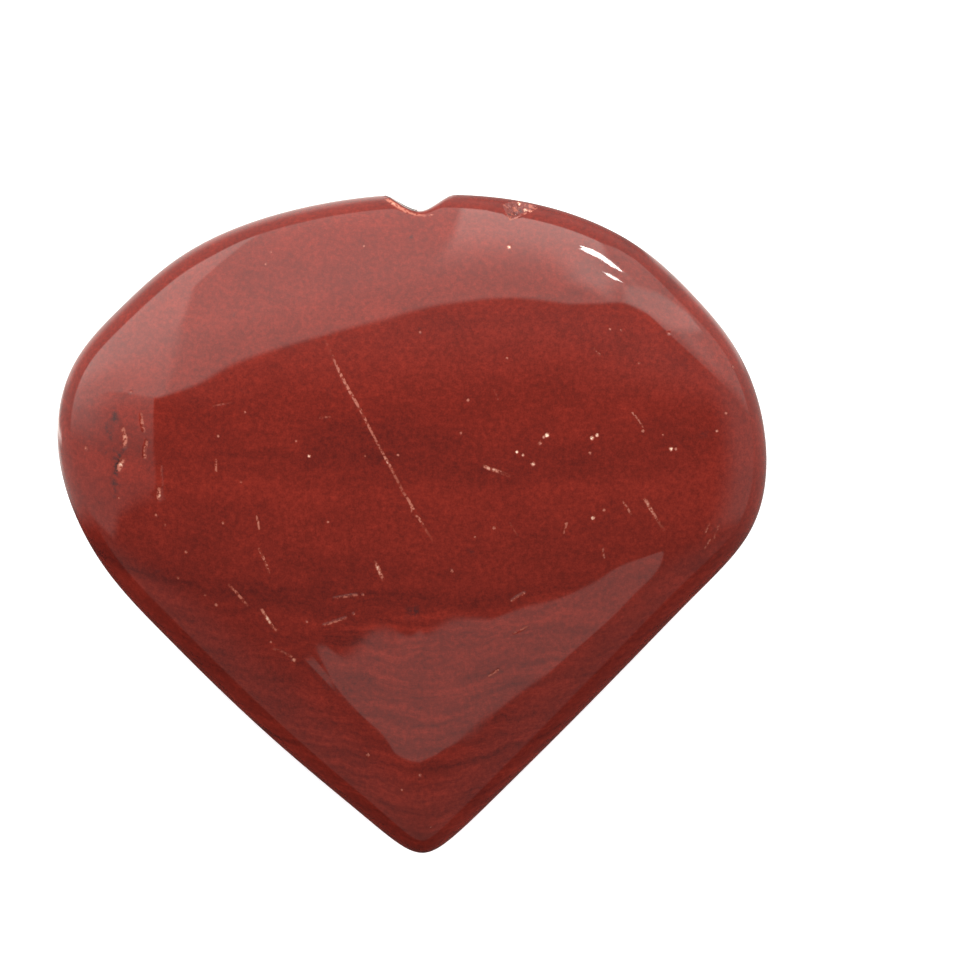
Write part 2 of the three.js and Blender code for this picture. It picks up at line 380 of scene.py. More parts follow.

# Dark veins: width in pixels, and x, y and darkness at each bend. The last three lie in the chip and
# are painted shade on its darker facets.
DARK_VEINS_AND_CHIP_SHADE = [
    (8.0, [(114, 408, 0.6), (114, 417, 1.0), (110, 424, 0.7), (109, 431, 1.0), (111, 437, 0.5)]),
    (7.0, [(124, 449, 0.5), (118, 457, 1.0), (116, 470, 1.0), (115, 482, 0.9), (114, 495, 0.5)]),
    (4.0, [(98, 453, 0.3), (111, 451, 0.5), (126, 448, 0.4)]),
    (4.0, [(114, 480, 0.4), (122, 486, 0.3), (134, 489, 0.2)]),
    (4.0, [(240, 390, 0.2), (248, 393, 0.3)]),
    (13.0, [(408, 613, 0.5), (416, 613, 0.9)]),
    (9.0, [(700, 436, 0.3), (706, 434, 0.4)]),
    (5.0, [(468, 552, 0.5), (472, 552, 0.5)]),
    (6.0, [(325, 685, 0.6), (328, 687, 0.6)]),
    (6.0, [(233, 315, 0.5), (236, 315, 0.4)]),
    (5.0, [(155, 570, 0.4), (160, 571, 0.4)]),
    # Painted shade on the chip's darker facets.
    (4.0, [(521, 205.5, 0.8), (523, 208.5, 1.0)]),
    (4.0, [(518, 209, 0.8), (515, 212, 0.6)]),
    (4.0, [(511, 209, 0.5), (509, 213, 0.7)]),
]

# Dark grains: width in pixels, and x, y and darkness.
DARK_GRAINS = [
    (5.5, 411, 239, 0.9), (6.0, 254, 318, 0.5), (5.0, 88, 436, 0.4), (5.0, 420, 328, 0.5),
    (6.0, 330, 395, 0.5), (5.0, 128, 352, 0.6),
]

# The rest of the stone, which the photograph doesn't show, has marks like these, drawn at random
# between these limits: paleness, half width in mm, way over the stone, and for a scratch the
# steps it takes along the outline and along the way.
UNSEEN_SCRATCHES = 26
UNSEEN_PITS = 70
UNSEEN_SEED = 5
UNSEEN_PALENESS = (0.25, 0.7)
UNSEEN_HALF_WIDTH = (0.05, 0.09)
UNSEEN_WAY = (0.97, 1.85)
UNSEEN_STEP = (-8, 9)
UNSEEN_RISE = (-0.04, 0.04)

# The depth of a scratch or pit, as a share of its half width, where it is strongest.
GROOVE_SLOPE = 0.22

# From a mark's edge inwards, the share of its half width over which its colour comes up.
MARK_EDGE = 0.7


def from_line(places, start, end, reach):
    """The places within reach of the line from start to end: their numbers, how far each is
    from the line, and how far along it, from 0 to 1."""
    low = np.minimum(start, end) - reach
    high = np.maximum(start, end) + reach
    near = np.flatnonzero(np.all((places > low) & (places < high), axis=1))
    offset = places[near] - start
    along = end - start
    share = np.clip(offset @ along / max(along @ along, 1e-12), 0, 1)
    return near, np.linalg.norm(offset - share[:, None] * along, axis=1), share


def seen_marks(places, triangles):
    """The marks of the photograph on the stone: (half width, start, end, strengths at both)."""
    surface = BVHTree.FromPolygons(places.tolist(), triangles.tolist())

    def marks_of(width, bends):
        """One mark's straight pieces, from bend to bend."""
        line = [np.array(surface.ray_cast(*photo_ray(bend[:2]))[0]) for bend in bends]
        half_width = width / 2 / PIXELS_PER_MM
        pairs = zip(line, line[1:], bends, bends[1:])
        return [(half_width, start, end, here[2], there[2]) for start, end, here, there in pairs]

    scratches = [mark for width, bends in SCRATCHES_AND_NOTCH_HIGHLIGHT for mark in marks_of(width, bends)]
    pits = [mark for width, *spot in PITS_AND_CHIP_GLINTS for mark in marks_of(width, [spot, spot])]
    dark = [mark for width, bends in DARK_VEINS_AND_CHIP_SHADE for mark in marks_of(width, bends)]
    dark += [mark for width, *spot in DARK_GRAINS for mark in marks_of(width, [spot, spot])]
    return scratches, pits, dark


def unseen_marks():
    """Marks of the same kind, at random places of the edge and the back."""
    draw = np.random.RandomState(UNSEEN_SEED)
    outline = girdle_outline()
    scratches, pits = [], []
    for number in range(UNSEEN_SCRATCHES + UNSEEN_PITS):
        strength = draw.uniform(*UNSEEN_PALENESS)
        half_width = draw.uniform(*UNSEEN_HALF_WIDTH)
        index = draw.randint(len(outline))
        way = draw.uniform(*UNSEEN_WAY)
        scratch = number < UNSEEN_SCRATCHES
        step = draw.randint(*UNSEEN_STEP) if scratch else 0
        rise = draw.uniform(*UNSEEN_RISE) if scratch else 0
        ends = [[*outline[index], way], [*outline[(index + step) % len(outline)], way + rise]]
        start, end = on_stone(np.array(ends))
        (scratches if scratch else pits).append((half_width, start, end, strength, strength / 2))
    return scratches, pits


def marked(places, marks):
    """How strongly marks show at each place, and how deep they are cut."""
    strength = np.zeros(len(places))
    depth = np.zeros(len(places))
    for half_width, start, end, first, last in marks:
        near, distance, share = from_line(places, start, end, half_width)
        inward = np.clip(1 - distance / half_width, 0, 1)
        most = first + (last - first) * share
        strength[near] = np.maximum(strength[near], smoothstep(0, MARK_EDGE, inward) * most)
        depth[near] = np.maximum(depth[near], inward * most * half_width * GROOVE_SLOPE)
    return strength, depth


def scar_depth(places, normals):
    """How far the chip's facets lie below each place, measured inwards along the normal."""
    depth = np.full(len(places), np.inf)
    heart_of_stone = np.array([*DOME_MIDDLE, GIRDLE_HEIGHT])
    ripple = sum(np.sin(places @ wave) for wave in SCAR_RIPPLES) * SCAR_RIPPLE_HEIGHT
    for near, far in zip(CHIP_RIM, np.roll(CHIP_RIM, -1, axis=0)):
        facing = np.cross(near - CHIP_BOTTOM, far - CHIP_BOTTOM)
        facing *= np.sign(facing @ (heart_of_stone - CHIP_BOTTOM)) / np.linalg.norm(facing)
        steepness = np.minimum(normals @ facing, -GRAZING)
        depth = np.minimum(depth, (places - CHIP_BOTTOM) @ facing / steepness)
    near_chip = np.linalg.norm(places - CHIP_BOTTOM, axis=1) < CHIP_REACH
    inside = near_chip & (depth > 0)
    return np.where(inside, np.maximum(depth + ripple * smoothstep(0, SCAR_RIPPLE_START, depth), 0), 0)


def refined(spots, triangles, marks):
    """The same surface with a closer mesh along the marks and in the chip."""
    for _ in range(REFINEMENTS):
        places = on_stone(spots)

        def wanted(edges):
            """Which edges are too long for the chip or for a mark that they touch."""
            start, end = places[edges[:, 0]], places[edges[:, 1]]
            middle = (start + end) / 2
            length = np.linalg.norm(end - start, axis=1)
            from_chip = np.linalg.norm(middle - CHIP_BOTTOM, axis=1)
            chosen = (length > SCAR_EDGE) & (from_chip < CHIP_REACH)
            for half_width, first, last, *_ in marks:
                near, distance, _ = from_line(middle, first, last, half_width + length.max() / 2)
                close = distance < half_width + length[near] / 2
                limit = max(half_width * EDGE_TO_WIDTH, FINEST_EDGE)
                chosen[near[close & (length[near] > limit)]] = True
            return chosen & (edges[:, 0] > 1)

        spots, triangles = split_edges(spots, triangles, wanted)
    return spots, triangles


def make_heart():
    """The stone: its fine mesh, cut by the marks and the chip, with its jasper."""
    spots, triangles = stone_grid()
    scratches, pits, dark_marks_and_chip_shade = seen_marks(on_stone(spots), triangles)
    more_scratches, more_pits = unseen_marks()
    scratches += more_scratches
    pits += more_pits
    spots, triangles = refined(spots, triangles, scratches + pits)
    places = on_stone(spots)
    normals = outward_normals(places, triangles)
    pale, groove = marked(places, scratches)
    pits_and_glints, hole = marked(places, pits)
    dark, _ = marked(places, dark_marks_and_chip_shade)
    scar = scar_depth(places, normals)
    scar_edge = (scar > SCAR_EDGE_FROM) * (1 - smoothstep(*SCAR_EDGE_FADE, scar))
    pale = np.maximum(pale, SCAR_EDGE_PALENESS * scar_edge)
    places = places + normals * (unevenness(places) - np.maximum(np.maximum(groove, hole), scar))[:, None]
    mesh = bpy.data.meshes.new("polished_heart")
    mesh.from_pydata((places * MM).tolist(), [], triangles.tolist())
    mesh.shade_smooth()
    mesh.set_sharp_from_angle(angle=SHARP_ANGLE)
    broken = (scar > BROKEN_FROM).astype(float)
    for name, values in {"pale": pale, "pits_and_glints": pits_and_glints, "dark": dark, "broken": broken}.items():
        mesh.attributes.new(name, "FLOAT", "POINT").data.foreach_set("value", values.astype(np.float32))
    mesh.materials.append(red_jasper())
    heart = bpy.data.objects.new("polished_heart", mesh)
    bpy.context.scene.collection.objects.link(heart)
    return heart


def attribute(tree, name):
    """A number that the mesh carries at each of its points."""
    return node(tree, "ShaderNodeAttribute", attribute_name=name).outputs["Fac"]


def mixed(tree, factor, first, second):
    """A colour between two colours."""
    made = node(tree, "ShaderNodeMix", {0: factor, 6: first, 7: second}, data_type="RGBA")
    return made.outputs[2]


def scaled_noise(tree, place, scale, detail=2.0, roughness=0.5):
    """Noise from 0 to 1 with so many waves to a unit of place."""
    inputs = {"Vector": place, "Scale": scale, "Detail": detail, "Roughness": roughness}
    return node(tree, "ShaderNodeTexNoise", inputs).outputs["Fac"]


def ramp(tree, value, from_low, from_high, to_low, to_high, smooth=True):
    """Maps one range of a value to another, and holds at both ends."""
    inputs = {0: value, 1: from_low, 2: from_high, 3: to_low, 4: to_high}
    kind = "SMOOTHSTEP" if smooth else "LINEAR"
    return node(tree, "ShaderNodeMapRange", inputs, interpolation_type=kind).outputs[0]


# The colours of the jasper: its layers, its dark grains, its broken and its crushed places. The dark
# grain's colour also paints shade on the chip's darker facets. Crushed stone is dull where it is least
# crushed, pink at PINK_AT and white where it is most; these colours also paint the glints in the chip and
# the highlight along the notch.
JASPER_IOR = 1.54
DARK_LAYER = (0.085, 0.0075, 0.0052)
MIDDLE_LAYER = (0.155, 0.0125, 0.0072)
LIGHT_LAYER = (0.25, 0.021, 0.0114)
DARK_GRAIN_AND_SHADE = (0.035, 0.012, 0.012)
BROKEN = (0.24, 0.05, 0.035)
CRUSHED_DULL = (0.25, 0.04, 0.022)
CRUSHED_PINK_AND_HIGHLIGHT = (0.41, 0.115, 0.07)
CRUSHED_WHITE_AND_GLINT = (0.95, 0.74, 0.54)
PINK_AT = 0.55

# The layers of the jasper lie across the stone and dip towards the tip. Each one here has its
# place across the layers in mm, its half thickness, and how much darker it makes the stone at
# its left and at its right end.
LAYER_DIP = 0.75
LAYER_ENDS = (-12, 12)
DARK_LAYERS = [
    (3.5, 0.9, 0.32, 0.1), (-6.1, 0.4, 0.26, 0.18), (-0.8, 0.3, 0.14, 0.14), (-1.95, 0.25, 0.14, 0.14),
    (-3.3, 0.3, 0.12, 0.12), (17.3, 0.7, -0.04, 0.16), (10.9, 1.8, 0.12, 0.1), (8.9, 0.9, -0.07, -0.07),
    (1.9, 0.6, -0.1, -0.1), (0.4, 0.35, -0.12, -0.12), (-8.6, 1.4, -0.06, -0.06),
]

# Broad darker and lighter patches: middle and half width in x and y, in mm, and darkness.
DARK_PATCHES = [
    (-3.1, 4.6, 5.0, 2.4, 0.16), (2.0, 4.4, 3.5, 1.8, 0.1), (6.2, 3.3, 5.0, 1.8, 0.1),
    (-9.5, 0.5, 4.5, 2.5, 0.12), (-7.5, -3.4, 6.0, 2.2, 0.12), (-10.9, 5.6, 3.2, 2.0, 0.12),
    (-10.5, -7.0, 4.0, 3.0, 0.1), (11.4, -3.1, 5.0, 3.0, -0.14), (14.0, 0.0, 3.5, 3.5, -0.08),
    (-7.0, 11.3, 6.0, 2.5, -0.06), (-14.5, 7.0, 3.2, 4.0, -0.16), (-0.4, 5.7, 11.5, 3.4, 0.11),
    (9.9, 3.6, 3.2, 2.0, 0.15), (-2.0, -1.9, 4.5, 1.8, 0.1), (-14.7, -1.2, 2.2, 1.8, 0.14),
    (-3.0, -5.0, 3.4, 1.6, 0.2), (3.3, -4.2, 1.7, 1.6, 0.12), (8.0, -5.6, 4.5, 4.0, -0.08),
    (15.9, 1.5, 2.5, 3.2, -0.15), (1.1, -15.9, 1.8, 1.3, -0.16), (3.3, 14.8, 3.2, 1.7, -0.1),
    (10.5, 14.8, 2.2, 1.7, 0.1), (-2.5, 11.4, 3.0, 1.2, -0.18), (-11.5, 11.0, 5.0, 1.5, -0.12),
    (4.8, 7.0, 6.0, 1.7, 0.1), (-1.0, 3.0, 5.5, 1.5, 0.12), (-11.5, -2.0, 2.4, 1.8, 0.14),
    (1.2, -2.0, 4.5, 1.3, 0.08), (14.8, 11.7, 2.2, 2.0, -0.14), (-15.8, 3.0, 2.2, 3.0, -0.08),
    (-11.7, 6.1, 2.0, 1.7, 0.14), (-4.5, -7.2, 4.5, 2.6, 0.13), (-11.9, 8.4, 2.2, 1.8, -0.12),
    (-7.6, 9.8, 2.2, 1.4, -0.12), (-5.5, -1.8, 2.2, 1.8, 0.1), (15.9, 9.2, 2.0, 2.0, -0.12),
]

# How the layers sway and ruffle: waves to a mm, detail, and how far they wander, in mm.
SWAY = (0.16, 2.0, 2.2)
RUFFLE = (0.75, 1.0, 0.7)

# Where four values stand together from here on, they make a passage: where it starts and ends,
# and the value before and after it.

# The thin layers: waves to a mm across them, detail and roughness. Along them they change more
# slowly, by LAYER_STRETCH. They show most near the line x = STREAKY_X, and least by the notch.
THIN_LAYERS = (1.7, 4.0, 0.7)
LAYER_STRETCH = 0.13
STREAKY_X = 0.8
STREAKY_ASIDE = (4.0, 9.0, 1.6, 0.85)
STREAKY_FROM = (5.0, 1.5, 0.3)

# DARK_LAYERS come and go along the stone: waves to a mm and detail, and how strong they are.
PATCH_GRAIN = (0.9, 1.0)
PATCHY = (0.35, 0.62, 0.25, 1.4)

# The jasper's middle tone, from 0 for the darkest to 1 for the lightest layer, and its mottling:
# waves to a mm, detail and strength.
MIDDLE_TONE = 0.545
MOTTLES = [(0.5, 3.0, 0.42), (4.0, 2.0, 0.85), (11.0, 1.0, 0.62)]

# Painted shade: the lobes darken near the girdle, from the first height to the second, by this much, over
# this stretch of y.
LOBE_HEIGHTS = (7.2, 5.2)
LOBE_PAINTED_SHADE = 0.2
LOBE_STRETCH = (7.0, 12.0)

# The grain that breaks up marks: waves to a mm and detail. It thins out dark veins and crumbles
# pale scratches and the rims of pits. Sparkle is pale grain on the chip's scar, partly painted glints of its
# facets.
GRAIN = (6.0, 1.0)
DARK_THINNED = (0.4, 0.6, 1.0, 0.3)
CRUMBLED = (0.38, 0.58, 0.35, 1.05)
PIT_GRAIN = (11.0, 1.0)
PIT_CRUMBLED = (0.35, 0.6, 0.6, 1.1)
SPARKLE_GRAIN = (3.2, 2.0)
SPARKLE = (0.52, 0.66, 0.0, 0.4)
BROKEN_SHARE = 0.35
CRUSHED_COVERS = (0.0, 0.5, 0.0, 1.0)

# Roughness of the polish, from place to place, and of crushed stone, which is fully rough where
# it is crushed by the second of CRUSHED_ROUGHENS.
POLISH_GRAIN = (0.6, 3.0)
POLISH = (0.3, 0.7, 0.02, 0.05)
CRUSHED_ROUGHENS = (0.0, 0.6)
CRUSHED_ROUGHNESS = 0.5


def wandering(tree, place, scale, detail, reach):
    """A length in mm that wanders from place to place, by half of reach either way."""
    return calc(tree, "MULTIPLY_ADD", scaled_noise(tree, place, scale, detail), reach, -reach / 2)


def three_colours(tree, value, first, middle, last, middle_at):
    """The colour of a value from 0 to 1, between three colours."""
    made = node(tree, "ShaderNodeValToRGB", {0: value})
    stops = made.color_ramp.elements
    stops[0].color = (*first, 1)
    stops[1].color = (*last, 1)
    stops.new(middle_at).color = (*middle, 1)
    return made.outputs[0]


def layered_tone(tree, place, axes, across):
    """The jasper's tone with its thin layers, its mottling and its darker and lighter layers."""
    long_x, long_z = [calc(tree, "MULTIPLY", axes[axis], LAYER_STRETCH) for axis in (0, 2)]
    along = node(tree, "ShaderNodeCombineXYZ", {0: long_x, 1: across, 2: long_z}).outputs[0]
    thin = scaled_noise(tree, along, *THIN_LAYERS)
    aside = calc(tree, "ABSOLUTE", calc(tree, "SUBTRACT", axes[0], STREAKY_X))
    streaky = ramp(tree, across, *STREAKY_FROM, ramp(tree, aside, *STREAKY_ASIDE))
    patchy = ramp(tree, scaled_noise(tree, along, *PATCH_GRAIN), *PATCHY)
    tone = calc(tree, "MULTIPLY_ADD", calc(tree, "SUBTRACT", thin, 0.5), streaky, MIDDLE_TONE)
    for scale, detail, strength in MOTTLES:
        noise = calc(tree, "SUBTRACT", scaled_noise(tree, place, scale, detail), 0.5)
        tone = calc(tree, "MULTIPLY_ADD", noise, strength, tone)
    for middle, half, left, right in DARK_LAYERS:
        off = calc(tree, "ABSOLUTE", calc(tree, "SUBTRACT", across, middle))
        darkness = ramp(tree, axes[0], *LAYER_ENDS, left, right)
        shown = calc(tree, "MULTIPLY", patchy, ramp(tree, off, half, 0.0, 0.0, darkness))
        tone = calc(tree, "SUBTRACT", tone, shown)
    return tone


def patched_tone(tree, place, axes, ruffle, tone):
    """A tone with the broad patches and painted shade on the lobes near the girdle. The ruffle frays the
    patches.
    """
    for x, y, half_x, half_y, darkness in DARK_PATCHES:
        inputs = {0: place, 1: (1 / half_x, 1 / half_y, 0), 2: (-x / half_x, -y / half_y, 0)}
        offset = node(tree, "ShaderNodeVectorMath", inputs, operation="MULTIPLY_ADD").outputs[0]
        off = node(tree, "ShaderNodeVectorMath", {0: offset}, operation="LENGTH").outputs[1]
        off = calc(tree, "ADD", off, ruffle)
        tone = calc(tree, "SUBTRACT", tone, ramp(tree, off, 1.0, 0.0, 0.0, darkness))
    # Painted shade on the lobes, near the girdle.
    painted_shade_near_girdle = ramp(tree, axes[2], *LOBE_HEIGHTS, 0.0, LOBE_PAINTED_SHADE)
    at_lobes = ramp(tree, axes[1], *LOBE_STRETCH, 0.0, 1.0)
    return calc(tree, "SUBTRACT", tone, calc(tree, "MULTIPLY", painted_shade_near_girdle, at_lobes))


def jasper_tone(tree, place):
    """The tone of the unmarked jasper, from 0 for the darkest to 1 for the lightest layer, with painted shade
    on the lobes near the girdle.
    """
    axes = node(tree, "ShaderNodeSeparateXYZ", {0: place}).outputs
    sway = wandering(tree, place, *SWAY)
    ruffle = wandering(tree, place, *RUFFLE)
    across = calc(tree, "MULTIPLY_ADD", axes[2], LAYER_DIP, axes[1])
    across = calc(tree, "ADD", calc(tree, "ADD", across, sway), ruffle)
    tone = layered_tone(tree, place, axes, across)
    return patched_tone(tree, place, axes, ruffle, tone)


def crushed_and_glint_share(tree, place, grain, broken):
    """How much the stone is crushed and pale: along scratches, in pits and on the chip's scar, and where
    glints and the notch's highlight are painted.
    """
    scratched = calc(tree, "MULTIPLY", attribute(tree, "pale"), ramp(tree, grain, *CRUMBLED))
    rim_of_pit = ramp(tree, scaled_noise(tree, place, *PIT_GRAIN), *PIT_CRUMBLED)
    pits_and_glints = calc(tree, "MULTIPLY", attribute(tree, "pits_and_glints"), rim_of_pit)
    # Sparkle: pale grain on the chip's scar, partly painted glints.
    sparkle = ramp(tree, scaled_noise(tree, place, *SPARKLE_GRAIN), *SPARKLE)
    marks = calc(tree, "MAXIMUM", scratched, pits_and_glints)
    return calc(tree, "MAXIMUM", marks, calc(tree, "MULTIPLY", broken, sparkle))


def red_jasper():
    """Polished red jasper: thin wavy layers, a fine mottled grain, pale scratches and pits; painted shade on
    the lobes, painted glints and shade in the chip, painted highlight along the notch.
    """
    material = bpy.data.materials.new("red_jasper")
    material.use_nodes = True
    tree = material.node_tree
    shader = tree.nodes["Principled BSDF"]
    metres = node(tree, "ShaderNodeTexCoord").outputs["Object"]
    place = node(tree, "ShaderNodeVectorMath", {0: metres, 3: 1 / MM}, operation="SCALE").outputs[0]
    grain = scaled_noise(tree, place, *GRAIN)
    broken = attribute(tree, "broken")
    crushed = crushed_and_glint_share(tree, place, grain, broken)

    tone = jasper_tone(tree, place)
    colour = three_colours(tree, tone, DARK_LAYER, MIDDLE_LAYER, LIGHT_LAYER, middle_at=0.5)
    colour = mixed(tree, calc(tree, "MULTIPLY", broken, BROKEN_SHARE), colour, (*BROKEN, 1))
    dark = calc(tree, "MULTIPLY", attribute(tree, "dark"), ramp(tree, grain, *DARK_THINNED))
    colour = mixed(tree, dark, colour, (*DARK_GRAIN_AND_SHADE, 1))
    pale = three_colours(tree, crushed, CRUSHED_DULL, CRUSHED_PINK_AND_HIGHLIGHT, CRUSHED_WHITE_AND_GLINT, middle_at=PINK_AT)
    colour = mixed(tree, ramp(tree, crushed, *CRUSHED_COVERS), colour, pale)
    tree.links.new(colour, shader.inputs["Base Color"])

    polish = ramp(tree, scaled_noise(tree, place, *POLISH_GRAIN), *POLISH)
    rough = calc(tree, "MAXIMUM", crushed, broken)
    rough = ramp(tree, rough, *CRUSHED_ROUGHENS, polish, CRUSHED_ROUGHNESS)
    tree.links.new(rough, shader.inputs["Roughness"])
    shader.inputs["IOR"].default_value = JASPER_IOR
    return material


def blend(tree, factor, first, second):
    """A number between two numbers."""
    return node(tree, "ShaderNodeMix", {0: factor, 2: first, 3: second}, data_type="FLOAT").outputs[0]


def soft_step(tree, distance, softness):
    """0 below and 1 above distance 0, with a soft passage between them."""
    return ramp(tree, distance, -softness / 2, softness / 2, 0.0, 1.0)


# The lines on the map of directions run from -100 to 100 degrees both ways.
CURVE_SPAN = 200.0


def curve(tree, value, corners):
    """A straight-edged line through corners: degrees along it in, degrees across it out."""
    made = tree.nodes.new("ShaderNodeFloatCurve")
    line = made.mapping.curves[0].points
    shares = [(a / CURVE_SPAN + 0.5, b / CURVE_SPAN + 0.5) for a, b in corners]
    line[0].location = shares[0]
    line[1].location = shares[-1]
    for share in shares[1:-1]:
        line.new(*share)
    for point in line:
        point.handle_type = "VECTOR"
    made.mapping.update()
    tree.links.new(calc(tree, "MULTIPLY_ADD", value, 1 / CURVE_SPAN, 0.5), made.inputs["Value"])
    return calc(tree, "MULTIPLY", calc(tree, "SUBTRACT", made.outputs[0], 0.5), CURVE_SPAN)


def between(tree, x, y, lower, upper, softness):
    """1 between a lower and an upper line of the map of directions, and 0 outside them."""
    above = calc(tree, "SUBTRACT", y, curve(tree, x, lower))
    below = calc(tree, "SUBTRACT", curve(tree, x, upper), y)
    return soft_step(tree, calc(tree, "MINIMUM", above, below), softness)


# A ragged edge on the map of directions: waves to a degree and detail.
RAGGED_GRAIN = (0.45, 2.0)


def inside(tree, spot, corners, softness, ragged=0.0):
    """1 inside a convex patch of the map of directions, and 0 outside. Corners run counter-clockwise.
    A ragged patch has an edge that wanders by this many degrees."""
    nearest = None
    for (x0, y0), (x1, y1) in zip(corners, corners[1:] + corners[:1]):
        length = math.hypot(x1 - x0, y1 - y0)
        across, up = (y0 - y1) / length, (x1 - x0) / length
        plane = (across, up, -(x0 * across + y0 * up))
        distance = node(tree, "ShaderNodeVectorMath", {0: spot, 1: plane}, operation="DOT_PRODUCT").outputs[1]
        nearest = distance if nearest is None else calc(tree, "MINIMUM", nearest, distance)
    if ragged:
        wander = calc(tree, "SUBTRACT", scaled_noise(tree, spot, *RAGGED_GRAIN), 0.5)
        nearest = calc(tree, "MULTIPLY_ADD", wander, ragged * 2, nearest)
    return soft_step(tree, nearest, softness)


def sector(tree, bearing, middle, half, softness):
    """1 within half an angle of a compass direction, and 0 outside it. Degrees; 0 is +X and 90 is +Y."""
    facing = (math.cos(math.radians(middle)), math.sin(math.radians(middle)), 0)
    dot = node(tree, "ShaderNodeVectorMath", {0: bearing, 1: facing}, operation="DOT_PRODUCT").outputs[1]
    angle = calc(tree, "DEGREES", calc(tree, "ARCCOSINE", dot))
    return soft_step(tree, calc(tree, "SUBTRACT", half, angle), softness)


# The studio round the stone, as its gloss shows it. Directions are on a map: the distance from
# the map's middle is the angle from straight up, in degrees, and +X and +Y are the stone's own.
WINDOW_LOWER = [
    (-100, 15), (-60, 15), (-50, 16.5), (-41, 15.3), (-35, 13.7), (-30, 12.9), (-25.4, 14.4), (-17.4, 16.3),
    (-8.7, 19.8), (-3, 22.4), (0.7, 25), (5.7, 26.5), (9, 27), (17.2, 27), (24, 29), (31, 32.2),
    (37.9, 33), (41.5, 31), (51.4, 26), (60.3, 22.8), (74, 19), (100, 12),
]
WINDOW_LEFT_SEAM = [
    (-100, -28), (20, -28), (26, -31.3), (30, -34), (37, -36.5), (47, -39.7), (55, -37), (66, -35),
    (84, -34), (100, -30),
]
WINDOW_MIDDLE_SEAM = [(-100, -1), (33, -0.4), (41, 0.7), (54, 2), (83, 3.6), (100, 4.2)]
WINDOW_RIGHT_SEAM = [(-100, 42), (36, 42), (45, 43), (60, 36.5), (72, 40), (100, 46)]
SIDE_LOWER = [
    (-100, -39), (-66, -38), (-60, -32), (-53, -24), (-42, -16), (-34, -11), (-32.5, -6), (-31, 4),
    (-30.5, 20), (100, 24),
]
SIDE_UPPER = [(-100, 18), (-30.5, 18), (100, 10)]
CARD_LOWER = [
    (-100, -36.2), (-21, -36.3), (-13.5, -36.1), (1.5, -35.6), (12.6, -34.8), (20.7, -34.8), (24.5, -36.3),
    (27.2, -38.4), (34.5, -42.8), (38, -43.6), (41, -44), (100, -45),
]
CARD_UPPER = [
    (-100, -100), (-21.8, -60), (-20.8, -34), (-19.5, -31.2), (-18.5, -28.8), (-17.5, -28), (-16.3, -27.3),
    (-15.4, -27.5), (-14.3, -26.7), (-12.8, -25.4), (-8.8, -21.4), (-6.1, -19.1), (2.9, -18.2),
    (6.5, -19.3), (11.8, -22.4), (17.2, -23.7), (25.2, -27.1), (31.7, -30.8), (36.5, -32.5),
    (39.8, -41), (41.5, -46), (43, -100), (100, -100),
]
CARD_SLIVER = [(-22.7, -33), (-21.4, -34.3), (-20, -32.5), (-20.5, -31.1)]
LAMP = [
    (27.2, 58.4), (29.3, 56.6), (37.2, 50.0), (39.4, 50.6), (37.1, 55.5), (34.8, 59.3), (32.3, 62.6),
    (29.0, 62.4),
]
LAMP_EDGE = [(29.9, 45.0), (30.9, 43.2), (32.4, 42.5), (35.4, 42.7), (33.2, 44.3), (31.6, 45.1)]
LAMP_LIGHT = 32.0
LAMP_GLOW = [(20, 36), (27, 33.5), (33, 41), (30, 58), (19, 60)]
FAR_GLOW = [(32, 33), (42, 33.5), (53, 39.5), (66, 47.5), (65, 53), (52, 49), (35, 41)]

# The angle from straight up at which the floor begins, along the map's x, beyond the notch.
# On the near side it begins at NEAR_HORIZON, and the one passes into the other over this stretch
# of the map's y.
HORIZON = [
    (-100, 90.5), (-78, 90), (-64, 87), (-45, 87), (-37, 91), (-8, 93), (3, 94.5), (8, 93), (14, 87),
    (42, 87), (49, 92), (58, 93), (66, 87.5), (74, 91), (85, 94), (100, 92),
]
NEAR_HORIZON = 90.5
HORIZON_PASSAGE = (0.0, 10.0, 0.0, 1.0)

# Bright stretches of the floor: compass direction and half width, zenith angles between which
# the light comes up, and its strength.
GROUND_GLINTS = [
    (134, 34, 112, 132, 1.3), (97, 6, 118, 138, 1.3), (97, 4, 168, 173, 0.1), (68, 20, 112, 132, 0.4),
    (34, 14, 116, 136, 1.35), (184, 13, 128, 146, 1.2), (185.3, 1, 121, 124, 4.0),
]

# The light of the studio's parts, where 1 is the white of the picture: overhead, at the right
# and towards the tip, at the left side with its bright end and top, and of the pale card.
OVERHEAD_LIGHT = (8, 22, 0.15, 0.4)
RIGHT_SIDE = [(58, -30), (100, -50), (100, 45), (58, 22)]
RIGHT_SIDE_LIGHT = 0.65
TIP_SIDE = [(-120, -120), (120, -120), (75, -42), (-75, -42)]
TIP_SIDE_LIGHT = 0.27
SIDE_LIGHT = (-66, -32, 0.65, 0.47)
SIDE_BRIGHT_END = (-40, -68, 0.4, 0.9)
SIDE_BRIGHT_FROM = (-9, 10, 0.0, 1.0)
SIDE_BRIGHT_TOP = (8, 14, 0.0, 0.4)
CARD_LIGHT = 0.78
CARD_SLIVER_LIGHT = 0.7

# The light of the window's panes, by the distance into the window.
LEFT_PANE = (2, 22, 2.05, 3.1)
MIDDLE_PANE = (0, 14, 1.6, 1.95)
RIGHT_PANE = (2, 36, 1.65, 3.55)
LAMP_GLOW_LIGHT = 3.3
FAR_PANE = (46, 76, 1.9, 1.35)
FAR_PANE_EDGE = (0, 8, 0.6, 1.0)
FAR_GLOW_LIGHT = 2.9

